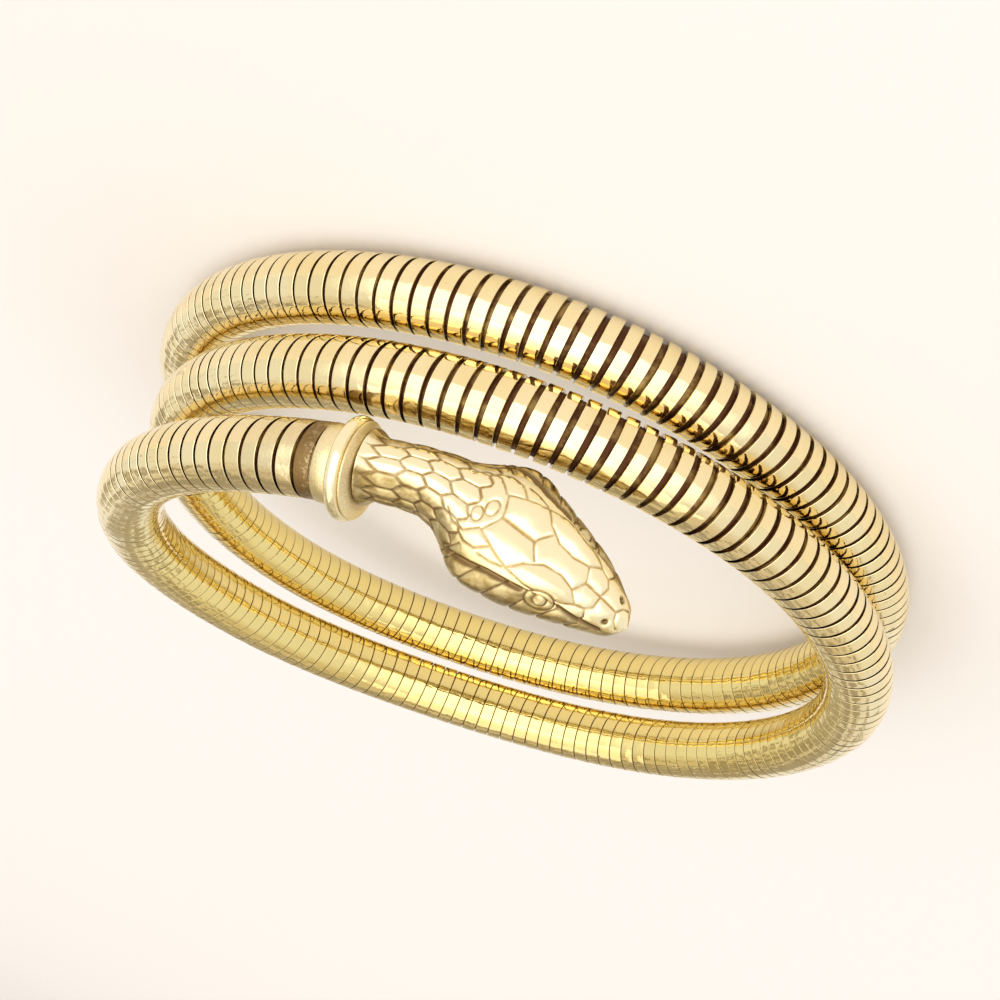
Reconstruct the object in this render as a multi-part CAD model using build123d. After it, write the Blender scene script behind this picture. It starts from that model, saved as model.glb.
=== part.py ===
from build123d import *
import math
import os

# Snake bracelet: a tube of wound metal strip coiled a little over two turns, with a plain
# tapered tail at its lower end and, past a beaded collar, a cast snake head at its upper end.
# The bracelet lies on its side: the coil's axis is +Z, the floor is Z = 0.

# Driving sizes, in millimetres and degrees
tube_diameter = 6.0
coil_radius = 34.0
tail_angle = -9.0
neck_angle = 784.6
strip_width = 1.08
strip_thickness = 0.3
bands_per_segment = 6
segment_count = 52
groove_draft = 0.02
inner_strip_diameter = 4.5
inner_strip_bore = 3.7
inner_clearance = 0.15
inner_strip_step = 3
bore_overrun = 1.0
joint_gap = 0.12

tail_length = 10.0
tail_sleeve_diameter = 6.3
tail_tip_diameter = 1.2

sleeve_diameter = 6.2
sleeve_length = 1.45
bead_diameter = 8.1
bead_thickness = 1.35
collar_face_diameter = 6.4
collar_face_length = 0.35
collar_tilt = 3.0
collar_turn = 6.5
collar_gap = 0.48

neck_diameter = 4.78
head_length = 22.4
head_width = 9.78
head_height = 5.6
head_lean = 3.69
head_drop = 7.2

# The coil's centre line, a row every 45 degrees from the tail: radius and height are
# measured in coil radii and in tube diameters above the floor
ROW_STEP = 45.0
FIRST_ROW = -45.0
COIL = [
    {"radius": 1.020, "height": 0.500},
    {"radius": 1.014, "height": 0.500},
    {"radius": 1.007, "height": 0.548},
    {"radius": 1.003, "height": 0.520},
    {"radius": 0.999, "height": 0.500},
    {"radius": 0.995, "height": 0.512},
    {"radius": 0.987, "height": 0.745},
    {"radius": 0.972, "height": 1.073},
    {"radius": 0.954, "height": 1.497},
    {"radius": 0.942, "height": 1.680},
    {"radius": 0.949, "height": 1.705},
    {"radius": 0.969, "height": 1.650},
    {"radius": 0.994, "height": 1.592},
    {"radius": 1.022, "height": 1.703},
    {"radius": 1.028, "height": 1.897},
    {"radius": 1.010, "height": 2.163},
    {"radius": 0.984, "height": 2.698},
    {"radius": 0.966, "height": 3.130},
    {"radius": 0.978, "height": 3.138},
    {"radius": 0.960, "height": 2.870},
    {"radius": 0.942, "height": 2.600},
]

# The tail cap's sections: station along tail_length, and how far the sleeve's diameter has
# tapered down to the tip's
TAIL = [
    {"along": 0.00, "taper": 0.00},
    {"along": 0.14, "taper": 0.00},
    {"along": 0.40, "taper": 0.16},
    {"along": 0.70, "taper": 0.45},
    {"along": 0.92, "taper": 0.76},
    {"along": 1.00, "taper": 1.00},
]

# The line that the head follows from the collar to the snout: lean towards the top of the
# coil in head_lean, drop towards the coil's axis in head_drop
HEAD_LINE = [
    {"along": 0.00, "lean": -0.125, "drop": 0.00},
    {"along": 0.06, "lean": -0.125, "drop": 0.00},
    {"along": 0.23, "lean": -0.188, "drop": 0.09},
    {"along": 0.40, "lean": 0.000, "drop": 0.23},
    {"along": 0.60, "lean": 0.340, "drop": 0.44},
    {"along": 0.80, "lean": 0.630, "drop": 0.70},
    {"along": 1.00, "lean": 1.000, "drop": 1.00},
]

# The head's sections: station along head_length, half width between the neck's (0) and the
# head's widest (1), crown and jaw as shares of head_height, and how square the section is
HEAD = [
    {"along": 0.00, "width": 0.00, "crown": 0.43, "jaw": 0.43, "square": 2.0},
    {"along": 0.16, "width": 0.04, "crown": 0.43, "jaw": 0.43, "square": 2.0},
    {"along": 0.26, "width": 0.13, "crown": 0.44, "jaw": 0.43, "square": 2.0},
    {"along": 0.34, "width": 0.32, "crown": 0.46, "jaw": 0.43, "square": 2.1},
    {"along": 0.41, "width": 0.74, "crown": 0.49, "jaw": 0.43, "square": 2.2},
    {"along": 0.49, "width": 1.00, "crown": 0.51, "jaw": 0.44, "square": 2.3},
    {"along": 0.60, "width": 0.90, "crown": 0.50, "jaw": 0.45, "square": 2.4},
    {"along": 0.72, "width": 0.61, "crown": 0.46, "jaw": 0.43, "square": 2.4},
    {"along": 0.84, "width": 0.20, "crown": 0.38, "jaw": 0.36, "square": 2.3},
    {"along": 0.92, "width": -0.18, "crown": 0.30, "jaw": 0.29, "square": 2.2},
    {"along": 0.97, "width": -0.48, "crown": 0.21, "jaw": 0.21, "square": 2.1},
    {"along": 1.00, "width": -0.95, "crown": 0.02, "jaw": 0.02, "square": 2.0},
]

# Cast relief on the head: station along the head, place around it in degrees from the side
# (90 is the crown), reach along and around, and rise in millimetres; both sides alike
RELIEF = [
    {"along": 0.54, "around": 74.0, "reach": 0.060, "spread": 14.0, "rise": 0.18},
    {"along": 0.71, "around": 64.0, "reach": 0.075, "spread": 13.0, "rise": 0.32},
    {"along": 0.73, "around": 33.0, "reach": 0.024, "spread": 7.0, "rise": 0.34},
    {"along": 0.72, "around": 32.0, "reach": 0.055, "spread": 13.0, "rise": -0.30},
    {"along": 0.50, "around": 14.0, "reach": 0.080, "spread": 14.0, "rise": 0.24},
    {"along": 0.93, "around": 60.0, "reach": 0.010, "spread": 9.0, "rise": -0.22},
]

# The crease that parts the crown's plates from the cheek, from behind the jaw to the nostril
CREASE = [
    {"along": 0.40, "around": 20.0},
    {"along": 0.48, "around": 35.0},
    {"along": 0.56, "around": 42.0},
    {"along": 0.66, "around": 43.0},
    {"along": 0.78, "around": 38.0},
    {"along": 0.88, "around": 28.0},
    {"along": 0.95, "around": 20.0},
]
crease_depth = 0.16
crease_spread = 4.5
crease_fade = 0.05
mouth_start = 0.45
mouth_level = -20.0
mouth_depth = 0.2
mouth_spread = 7.0
mouth_fade = 0.08
# The relief fades in after the neck's plain start and out towards the snout
relief_start = 0.10
relief_fade_in = 0.08
relief_fade_out = 0.125
least_radius = 0.5
head_rows = 64
head_columns = 60
snout_crowding = 1.15
tangent_step = 0.01


def between(rows, column, key, value):
    """Smooth curve through a table's column, read at value of its key column."""
    last = len(rows) - 1
    index = 0
    while index < last - 1 and value > rows[index + 1][key]:
        index += 1

    def slope(place):
        low, high = max(place - 1, 0), min(place + 1, last)
        return (rows[high][column] - rows[low][column]) / (rows[high][key] - rows[low][key])

    step = rows[index + 1][key] - rows[index][key]
    t = (value - rows[index][key]) / step
    rise = (3 - 2 * t) * t * t
    start = slope(index) * step * t * (1 - t) ** 2
    end = slope(index + 1) * step * t * t * (t - 1)
    return rows[index][column] + (rows[index + 1][column] - rows[index][column]) * rise + start + end


for number, row in enumerate(COIL):
    row["angle"] = FIRST_ROW + number * ROW_STEP


def coil_point(angle):
    """Point of the tube's centre line; the snake runs clockwise as it climbs."""
    radius = coil_radius * between(COIL, "radius", "angle", angle)
    height = tube_diameter * between(COIL, "height", "angle", angle)
    turned = -math.radians(angle)
    return Vector(radius * math.cos(turned), radius * math.sin(turned), height)


def coil_plane(angle):
    """Cross-section plane: X outwards, Y up, Z along the snake towards its head."""
    here = coil_point(angle)
    along = (coil_point(angle + 0.1) - coil_point(angle - 0.1)).normalized()
    outward = Vector(here.X, here.Y, 0).normalized()
    return Plane(origin=here, x_dir=outward - along * outward.dot(along), z_dir=along)


def equal_steps(first, last, count):
    """Angles that cut the centre line from first to last into count equal lengths."""
    samples = 2000
    angles = [first + (last - first) * place / samples for place in range(samples + 1)]
    lengths = [0.0]
    for a, b in zip(angles, angles[1:]):
        lengths.append(lengths[-1] + (coil_point(b) - coil_point(a)).length)
    found = []
    index = 0
    for number in range(count + 1):
        wanted = lengths[-1] * number / count
        while index < samples - 1 and lengths[index + 1] < wanted:
            index += 1
        share = (wanted - lengths[index]) / (lengths[index + 1] - lengths[index])
        found.append(angles[index] + (angles[index + 1] - angles[index]) * share)
    return found


def disc(plane, diameter):
    return plane * Circle(diameter / 2)


band_count = bands_per_segment * segment_count
band_edges = equal_steps(tail_angle, neck_angle, band_count * 2)
band_middles = band_edges[1::2]
groove_diameter = tube_diameter - 2 * strip_thickness


def winding_segment(number):
    """Six bands of the outer strip with the grooves between them, bored for the inner strip."""
    first = number * bands_per_segment
    walls = []
    for band in range(bands_per_segment):
        middle = coil_plane(band_middles[first + band])
        near = middle.offset(-strip_width / 2)
        far = middle.offset(strip_width / 2)
        if band > 0:
            walls.append(disc(near.offset(-groove_draft), groove_diameter))
        walls.append(disc(near, tube_diameter))
        walls.append(disc(far, tube_diameter))
        if band < bands_per_segment - 1:
            walls.append(disc(far.offset(groove_draft), groove_diameter))
    bore = []
    bore_diameter = inner_strip_diameter + 2 * inner_clearance
    bore.append(disc(coil_plane(band_middles[first]).offset(-strip_width), bore_diameter))
    for band in range(bands_per_segment):
        bore.append(disc(coil_plane(band_middles[first + band]), bore_diameter))
    last = coil_plane(band_middles[first + bands_per_segment - 1])
    bore.append(disc(last.offset(strip_width), bore_diameter))
    return loft(walls, ruled=True) - loft(bore, ruled=True)


def inner_tube():
    """The inner strip, a thin tube on the same centre line that carries every segment."""
    places = [band_edges[0]] + band_middles[::inner_strip_step] + [band_edges[-1]]
    planes = [coil_plane(angle) for angle in places]
    outside = loft([disc(plane, inner_strip_diameter) for plane in planes], ruled=True)
    ends = [planes[0].offset(-bore_overrun)] + planes + [planes[-1].offset(bore_overrun)]
    inside = loft([disc(plane, inner_strip_bore) for plane in ends], ruled=True)
    return outside - inside


def tail_cap():
    """Plain tapered cap on the tube's hidden end."""
    degrees_per_mm = math.degrees(1 / coil_point(tail_angle).length)
    start = tail_angle - joint_gap * degrees_per_mm
    sections = []
    for row in TAIL:
        plane = coil_plane(start - row["along"] * tail_length * degrees_per_mm)
        diameter = tail_sleeve_diameter + (tail_tip_diameter - tail_sleeve_diameter) * row["taper"]
        sections.append(disc(plane, diameter))
    return loft(sections, ruled=True)


# The collar leans up the coil and turns in towards its axis against the tube's own end
collar_lean = Rotation(-collar_tilt, 0, 0) * Rotation(0, -collar_turn, 0)
collar_plane = Plane(coil_plane(neck_angle).location * collar_lean).offset(collar_gap)


def collar():
    """Sleeve, bead ring and neck seat, turned and soldered into one piece."""
    bead_centre = sleeve_length + bead_thickness / 2
    sleeve = Pos(0, 0, sleeve_length / 2) * Cylinder(sleeve_diameter / 2, sleeve_length)
    core_length = bead_thickness + collar_face_length
    core = Cylinder(collar_face_diameter / 2, core_length)
    core = Pos(0, 0, sleeve_length + core_length / 2) * core
    bead_radius = bead_thickness / 2
    bead = Pos(0, 0, bead_centre) * Torus(bead_diameter / 2 - bead_radius, bead_radius)
    return collar_plane.location * (sleeve + core + bead)


neck_plane = collar_plane.offset(sleeve_length + bead_thickness + collar_face_length + joint_gap)


def head_axis(along):
    """Point on the line that the head follows from the neck's seat to the snout."""
    lean = head_lean * between(HEAD_LINE, "lean", "along", along)
    drop = head_drop * between(HEAD_LINE, "drop", "along", along)
    reach = math.sqrt(head_length**2 - head_lean**2 - head_drop**2) * along
    return Vector(-drop, lean, reach)


def relief(along, around):
    """Rise of the cast surface over the plain section, in millimetres."""
    rise = 0.0
    side = around if math.cos(math.radians(around)) >= 0 else 180 - around
    for row in RELIEF:
        away = (side - row["around"] + 180) % 360 - 180
        near = ((along - row["along"]) / row["reach"]) ** 2 + (away / row["spread"]) ** 2
        rise += row["rise"] * math.exp(-near)
    from_end = min(along - CREASE[0]["along"], CREASE[-1]["along"] - along)
    if from_end > 0:
        away = (side - between(CREASE, "around", "along", along) + 180) % 360 - 180
        opened = min(from_end / crease_fade, 1)
        rise -= crease_depth * opened * math.exp(-((away / crease_spread) ** 2))
    away = (side - mouth_level + 180) % 360 - 180
    opened = min(max((along - mouth_start) / mouth_fade, 0), 1)
    return rise - mouth_depth * opened * math.exp(-((away / mouth_spread) ** 2))


def head_point(along, around):
    """Point of the head's skin, around in degrees from the side that faces up the coil."""
    turned = math.radians(around)
    neck = neck_diameter / 2
    half = neck + (head_width / 2 - neck) * between(HEAD, "width", "along", along)
    tall = "crown" if math.sin(turned) >= 0 else "jaw"
    height = head_height * between(HEAD, tall, "along", along)
    power = 2 / between(HEAD, "square", "along", along)
    wide = math.copysign(abs(math.cos(turned)) ** power, math.cos(turned)) * half
    high = math.copysign(abs(math.sin(turned)) ** power, math.sin(turned)) * height
    fade_in = max(0.0, (along - relief_start) / relief_fade_in)
    fade = min(1.0, fade_in, (1 - along) / relief_fade_out)
    grown = 1 + relief(along, around) * fade / max(math.hypot(wide, high), least_radius)
    ahead = head_axis(min(along + tangent_step, 1)) - head_axis(along - tangent_step)
    ahead = ahead.normalized()
    crown = (Vector(1, 0, 0) - ahead * ahead.X).normalized()
    side = ahead.cross(crown)
    place = head_axis(along) + side * (wide * grown) + crown * (high * grown)
    return neck_plane.from_local_coords(place)


def snake_head():
    """Cast head and neck as one closed solid of small flat facets."""
    rings = []
    for row in range(head_rows):
        along = 1 - (1 - row / head_rows) ** snout_crowding
        ring = [head_point(along, 360 * column / head_columns) for column in range(head_columns)]
        rings.append(ring)
    back = neck_plane.from_local_coords(head_axis(0))
    tip = neck_plane.from_local_coords(head_axis(1))
    faces = []

    def facet(*corners):
        faces.append(Face(Wire.make_polygon(corners)))

    for column in range(head_columns):
        beside = (column + 1) % head_columns
        facet(back, rings[0][beside], rings[0][column])
        facet(tip, rings[-1][column], rings[-1][beside])
        for ring, ahead in zip(rings, rings[1:]):
            facet(ring[column], ring[beside], ahead[beside])
            facet(ring[column], ahead[beside], ahead[column])
    return Solid(Shell(faces))


def write(name, shape):
    shape.label = name
    export_step(shape, f"parts/{name}.step")


os.makedirs("parts", exist_ok=True)
half = segment_count // 2
segments = [winding_segment(number) for number in range(segment_count)]
write("lower_winding", Compound(children=segments[:half]))
write("upper_winding", Compound(children=segments[half:]))
write("inner_strip", inner_tube())
write("tail_cap", tail_cap())
write("collar", collar())
write("snake_head", snake_head())
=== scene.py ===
import bisect
import bmesh
import bpy
import math
import random
from mathutils import Matrix, Vector


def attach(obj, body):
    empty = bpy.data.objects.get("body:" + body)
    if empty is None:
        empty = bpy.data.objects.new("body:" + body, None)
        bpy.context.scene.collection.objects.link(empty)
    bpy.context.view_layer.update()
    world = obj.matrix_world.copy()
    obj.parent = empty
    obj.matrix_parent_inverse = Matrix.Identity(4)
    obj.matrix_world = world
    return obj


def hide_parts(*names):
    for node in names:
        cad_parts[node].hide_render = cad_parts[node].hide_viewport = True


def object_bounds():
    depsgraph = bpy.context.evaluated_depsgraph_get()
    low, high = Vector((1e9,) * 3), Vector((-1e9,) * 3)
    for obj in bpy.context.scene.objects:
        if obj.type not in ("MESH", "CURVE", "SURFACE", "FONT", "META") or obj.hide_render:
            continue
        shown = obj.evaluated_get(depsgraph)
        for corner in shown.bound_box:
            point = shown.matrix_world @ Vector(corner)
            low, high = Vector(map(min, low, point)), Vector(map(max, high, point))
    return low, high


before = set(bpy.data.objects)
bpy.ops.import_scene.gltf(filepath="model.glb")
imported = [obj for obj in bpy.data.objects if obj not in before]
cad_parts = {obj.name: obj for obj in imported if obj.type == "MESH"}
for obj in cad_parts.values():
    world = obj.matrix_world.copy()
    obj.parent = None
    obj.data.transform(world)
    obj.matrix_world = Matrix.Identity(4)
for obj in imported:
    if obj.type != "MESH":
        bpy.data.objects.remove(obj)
cad_low, cad_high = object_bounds()
scene = bpy.context.scene

# The bracelet is modelled in millimetres, and MM makes them metres
MM = 0.001

# Sizes of the bracelet, the same as the model's
tube_diameter = 6.0
coil_radius = 34.0
tail_angle = -9.0
neck_angle = 784.6
strip_thickness = 0.3
turns_of_strip = 312
joint_gap = 0.12

tail_length = 10.0
tail_sleeve_diameter = 6.3
tail_tip_diameter = 1.2

sleeve_diameter = 6.2
sleeve_length = 1.45
bead_diameter = 8.1
bead_thickness = 1.35
collar_face_length = 0.35
collar_tilt = 3.0
collar_turn = 6.5
collar_gap = 0.48

neck_diameter = 4.78
head_length = 22.4
head_width = 9.78
head_height = 5.6
head_lean = 3.69
head_drop = 7.2

# The outer strip: the least gap between bands, a band's lean, its bevelled edges and its ends
hairline = 0.05
band_lean = 0.020
strip_edge_bevel = 0.055
strip_crown = 0.012
band_share = 0.8
knee_share = 0.4
knee_depth = 0.3
strip_phase = 0.017
strip_clearance = 0.03
strip_sliver = 0.08
strip_overrun_low = 0.4
strip_overrun_high = 1.0
strip_split_gap = 0.0005

# The dark lining strip inside it, dark partly from tarnish and partly as painted shade of the gaps
lining_diameter = 5.3
lining_share = 0.6
lining_thickness = 0.3
lining_crown = 0.06
lining_shift = 0.5

# The collar's bead and the rounding of its sleeve and of the tail's tip
ring_radius = 0.61
sleeve_rounding = 0.06
tail_rounding = 0.3

# The head's foot: its flare, and how far it reaches back to the collar, by the head's length
neck_flare = 0.56
neck_flare_length = 0.6
neck_overlap = 0.0045

# What is cut in the head's skin: the scales and plates, the lips, the fold and the eyes.
# Starts, ends, lip scales and the fade are shares of the head's length
groove_width = 0.078
groove_depth = 0.10
plate_dome = 0.075
plate_dome_width = 0.32
scale_width = 1.2
scale_step = 2.0
lip_start = 0.402
lip_end = 0.87
lip_scale = 0.087
lip_lean = 0.045
temple_start = 0.415
fold_width = 0.25
fold_depth = 0.20
eye_width = 1.05
pupil_width = 0.48
nostril_width = 0.22
carving_fade = 0.03
carving_reach = groove_width * 4 + plate_dome_width

# How finely the pieces are made, and the span in degrees that a direction is taken over
STRIP_STEPS = 46
LINING_STEPS = 24
COLLAR_STEPS = 240
BEAD_STEP = 10
TAIL_STEPS = 40
TAIL_ROUND_STEPS = 72
HEAD_ROWS = 300
HEAD_COLUMNS = 318
WELD = 0.0005
tangent_angle = 0.1

# The coil's centre line: radius in coil radii, height in tube diameters above the floor
ROW_STEP = 45.0
FIRST_ROW = -45.0
COIL = [
    {"radius": 1.020, "height": 0.500},
    {"radius": 1.014, "height": 0.500},
    {"radius": 1.007, "height": 0.548},
    {"radius": 1.003, "height": 0.520},
    {"radius": 0.999, "height": 0.500},
    {"radius": 0.995, "height": 0.512},
    {"radius": 0.987, "height": 0.745},
    {"radius": 0.972, "height": 1.073},
    {"radius": 0.954, "height": 1.497},
    {"radius": 0.942, "height": 1.680},
    {"radius": 0.949, "height": 1.705},
    {"radius": 0.969, "height": 1.650},
    {"radius": 0.994, "height": 1.592},
    {"radius": 1.022, "height": 1.703},
    {"radius": 1.028, "height": 1.897},
    {"radius": 1.010, "height": 2.163},
    {"radius": 0.984, "height": 2.698},
    {"radius": 0.966, "height": 3.130},
    {"radius": 0.978, "height": 3.138},
    {"radius": 0.960, "height": 2.870},
    {"radius": 0.942, "height": 2.600},
]
for number, row in enumerate(COIL):
    row["angle"] = FIRST_ROW + number * ROW_STEP

# How wide the gaps between bands stand open on the outside, round each turn of the coil
GAPS = [
    {"angle": 0, "gap": 0.24},
    {"angle": 50, "gap": 0.27},
    {"angle": 75, "gap": 0.40},
    {"angle": 105, "gap": 0.56},
    {"angle": 128, "gap": 0.45},
    {"angle": 150, "gap": 0.36},
    {"angle": 190, "gap": 0.26},
    {"angle": 270, "gap": 0.22},
    {"angle": 360, "gap": 0.24},
]

# How far the tail cap has tapered, from its sleeve at 0 to its tip at 1
TAIL = [
    {"along": 0.00, "taper": 0.00},
    {"along": 0.14, "taper": 0.00},
    {"along": 0.40, "taper": 0.16},
    {"along": 0.70, "taper": 0.45},
    {"along": 0.92, "taper": 0.76},
    {"along": 1.00, "taper": 1.00},
]
TAIL_GRAIN_AND_SHEEN = 0.3

# The line that the head follows, in shares of its whole lean and drop
HEAD_LINE = [
    {"along": 0.00, "lean": -0.125, "drop": 0.00},
    {"along": 0.06, "lean": -0.125, "drop": 0.00},
    {"along": 0.23, "lean": -0.188, "drop": 0.09},
    {"along": 0.40, "lean": 0.000, "drop": 0.23},
    {"along": 0.60, "lean": 0.340, "drop": 0.44},
    {"along": 0.80, "lean": 0.630, "drop": 0.70},
    {"along": 1.00, "lean": 1.000, "drop": 1.00},
]

# The head's sections: width from the neck's at 0 to the head's at 1, heights in head heights,
# and how square the section is, from round at 2
HEAD = [
    {"along": 0.00, "width": 0.00, "crown": 0.43, "jaw": 0.43, "square": 2.0},
    {"along": 0.16, "width": 0.04, "crown": 0.43, "jaw": 0.43, "square": 2.0},
    {"along": 0.26, "width": 0.13, "crown": 0.44, "jaw": 0.43, "square": 2.0},
    {"along": 0.34, "width": 0.32, "crown": 0.46, "jaw": 0.43, "square": 2.1},
    {"along": 0.41, "width": 0.74, "crown": 0.49, "jaw": 0.43, "square": 2.2},
    {"along": 0.49, "width": 1.00, "crown": 0.51, "jaw": 0.44, "square": 2.3},
    {"along": 0.60, "width": 0.90, "crown": 0.50, "jaw": 0.45, "square": 2.4},
    {"along": 0.72, "width": 0.61, "crown": 0.46, "jaw": 0.43, "square": 2.4},
    {"along": 0.84, "width": 0.20, "crown": 0.38, "jaw": 0.36, "square": 2.3},
    {"along": 0.92, "width": -0.18, "crown": 0.30, "jaw": 0.29, "square": 2.2},
    {"along": 0.97, "width": -0.48, "crown": 0.21, "jaw": 0.21, "square": 2.1},
    {"along": 1.00, "width": -0.95, "crown": 0.02, "jaw": 0.02, "square": 2.0},
]

# Bumps and hollows of the cast skin: reach in head lengths, spread in degrees, rise in mm
RELIEF = [
    {"along": 0.54, "around": 74.0, "reach": 0.060, "spread": 14.0, "rise": 0.18},
    {"along": 0.71, "around": 64.0, "reach": 0.075, "spread": 13.0, "rise": 0.32},
    {"along": 0.73, "around": 33.0, "reach": 0.024, "spread": 7.0, "rise": 0.34},
    {"along": 0.72, "around": 32.0, "reach": 0.055, "spread": 13.0, "rise": -0.30},
    {"along": 0.50, "around": 14.0, "reach": 0.080, "spread": 14.0, "rise": 0.24},
    {"along": 0.93, "around": 60.0, "reach": 0.010, "spread": 9.0, "rise": -0.22},
]

# The crease that parts the crown's plates from the cheek, from behind the jaw to the nostril
CREASE = [
    {"along": 0.40, "around": 20.0},
    {"along": 0.48, "around": 35.0},
    {"along": 0.56, "around": 42.0},
    {"along": 0.66, "around": 43.0},
    {"along": 0.78, "around": 38.0},
    {"along": 0.88, "around": 28.0},
    {"along": 0.95, "around": 20.0},
]
crease_depth = 0.16
crease_spread = 4.5
crease_fade = 0.05
mouth_start = 0.45
mouth_level = -20.0
mouth_depth = 0.2
mouth_spread = 7.0
mouth_fade = 0.08
# The relief fades in after the neck's plain start and out towards the snout, and what is left
# of a bump below the faint limit isn't counted
relief_start = 0.10
relief_fade_in = 0.08
relief_fade_out = 0.125
FAINT = 0.001
least_radius = 0.5
# The rows crowd towards the snout, and a section looks ahead and back by this share
snout_crowding = 1.15
tangent_step = 0.01


def between(rows, column, key, value):
    """Smooth curve through a table's column, read at value of its key column."""
    last = len(rows) - 1
    index = 0
    while index < last - 1 and value > rows[index + 1][key]:
        index += 1

    def slope(place):
        low, high = max(place - 1, 0), min(place + 1, last)
        return (rows[high][column] - rows[low][column]) / (rows[high][key] - rows[low][key])

    low, high = rows[index], rows[index + 1]
    step = high[key] - low[key]
    t = (value - low[key]) / step
    rise = (3 - 2 * t) * t * t
    start = slope(index) * step * t * (1 - t) ** 2
    end = slope(index + 1) * step * t * t * (t - 1)
    return low[column] + (high[column] - low[column]) * rise + start + end


def clamped(share):
    """The share kept between 0 and 1."""
    return min(max(share, 0), 1)


def bell(distance, width):
    """1 at no distance, falling smoothly to nothing over a few widths."""
    return math.exp(-((distance / width) ** 2))


def coil_point(angle):
    """Point of the tube's centre line; the snake runs clockwise as it climbs."""
    radius = coil_radius * between(COIL, "radius", "angle", angle)
    height = tube_diameter * between(COIL, "height", "angle", angle)
    turned = -math.radians(angle)
    return Vector((radius * math.cos(turned), radius * math.sin(turned), height))


class Section:
    """A cross-section of the tube: outward, up and along the snake towards its head."""

    def __init__(self, place, outward, along):
        self.place = place
        self.along = along.normalized()
        self.outward = (outward - self.along * outward.dot(self.along)).normalized()
        self.up = self.along.cross(self.outward)

    def shifted(self, distance):
        """The same section farther along."""
        return Section(self.place + self.along * distance, self.outward, self.along)

    def leaned(self, tilt, turn):
        """The section tilted up and then turned inwards, by degrees."""
        rise, inward = math.radians(tilt), math.radians(turn)
        along = self.along * math.cos(rise) + self.up * math.sin(rise)
        outward = self.outward * math.cos(inward) + along * math.sin(inward)
        along = along * math.cos(inward) - self.outward * math.sin(inward)
        return Section(self.place, outward, along)

    def at(self, outward, up, along):
        """Place at distances from the section's middle."""
        return self.place + self.outward * outward + self.up * up + self.along * along


def coil_section(angle):
    """Cross-section of the coil at an angle, square to its centre line."""
    here = coil_point(angle)
    along = coil_point(angle + tangent_angle) - coil_point(angle - tangent_angle)
    return Section(here, Vector((here.x, here.y, 0)), along)


# The centre line's length from the tail, sampled finely, to step along it evenly
LENGTH_SAMPLES = 3200
angle_step = (neck_angle - tail_angle) / LENGTH_SAMPLES
sample_angles = [tail_angle + angle_step * sample for sample in range(LENGTH_SAMPLES + 1)]
sample_lengths = [0.0]
for low_angle, high_angle in zip(sample_angles, sample_angles[1:]):
    piece = (coil_point(high_angle) - coil_point(low_angle)).length
    sample_lengths.append(sample_lengths[-1] + piece)
tube_length = sample_lengths[-1]
strip_pitch = tube_length / turns_of_strip


def angle_at(distance):
    """The coil's angle at a distance along the tube from its tail end."""
    kept = min(max(distance, 0.0), tube_length)
    index = min(max(bisect.bisect_right(sample_lengths, kept) - 1, 0), LENGTH_SAMPLES - 1)
    share = (kept - sample_lengths[index]) / (sample_lengths[index + 1] - sample_lengths[index])
    return sample_angles[index] + angle_step * share


def section_at(distance):
    """Cross-section at a distance along the tube, and straight on beyond its ends."""
    kept = min(max(distance, 0.0), tube_length)
    return coil_section(angle_at(distance)).shifted(distance - kept)


def strip_width(distance, around):
    """The outer strip's width: gaps open on the coil's outside and nearly close on its inside."""
    bend = tube_diameter / 2 / coil_radius
    outside = strip_pitch * (1 + bend) - between(GAPS, "gap", "angle", angle_at(distance) % 360)
    return min(outside, strip_pitch * (1 + bend * math.cos(around)) - hairline)


def lining_width(distance, around):
    """The lining's width, the same everywhere."""
    return lining_share * strip_pitch


def add_object(name, data):
    """Puts a mesh, lamp or camera in the scene."""
    thing = bpy.data.objects.new(name, data)
    scene.collection.objects.link(thing)
    return thing


def finish_piece(name, bm, slot, *nodes):
    """Turns a bmesh in millimetres into a piece that rides on the bracelet and replaces nodes."""
    bmesh.ops.scale(bm, vec=(MM, MM, MM), verts=bm.verts)
    mesh = bpy.data.meshes.new(name)
    for face in bm.faces:
        face.smooth = True
    bm.to_mesh(mesh)
    bm.free()
    piece = add_object(name, mesh)
    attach(piece, "root")
    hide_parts(*nodes)
    return piece


def marked_grid(columns, rows, marks):
    """A grid of columns by rows faces, its vertices as rows of columns, and its marks' layers."""
    bm = bmesh.new()
    for mark in marks:
        bm.verts.layers.float.new(mark)
    bmesh.ops.create_grid(bm, x_segments=columns, y_segments=rows, size=1)
    bm.verts.ensure_lookup_table()
    across = columns + 1
    table = [bm.verts[row * across:(row + 1) * across] for row in range(rows + 1)]
    layers = {mark: bm.verts.layers.float[mark] for mark in marks}
    return bm, table, layers


def set_marks(vertex, layers, values):
    """Writes a vertex's marks, which its material reads."""
    for mark, value in values.items():
        vertex[layers[mark]] = value


def face_outwards(bm):
    """Turns a closed skin's faces outwards, from the places that its vertices have now."""
    bm.normal_update()
    bmesh.ops.recalc_face_normals(bm, faces=bm.faces)


def close_up(bm):
    """Welds a tube's seam, caps its open ends and turns its faces outwards."""
    bmesh.ops.remove_doubles(bm, verts=bm.verts, dist=WELD)
    open_edges = [edge for edge in bm.edges if edge.is_boundary]
    bmesh.ops.holes_fill(bm, edges=open_edges, sides=0)
    face_outwards(bm)


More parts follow.
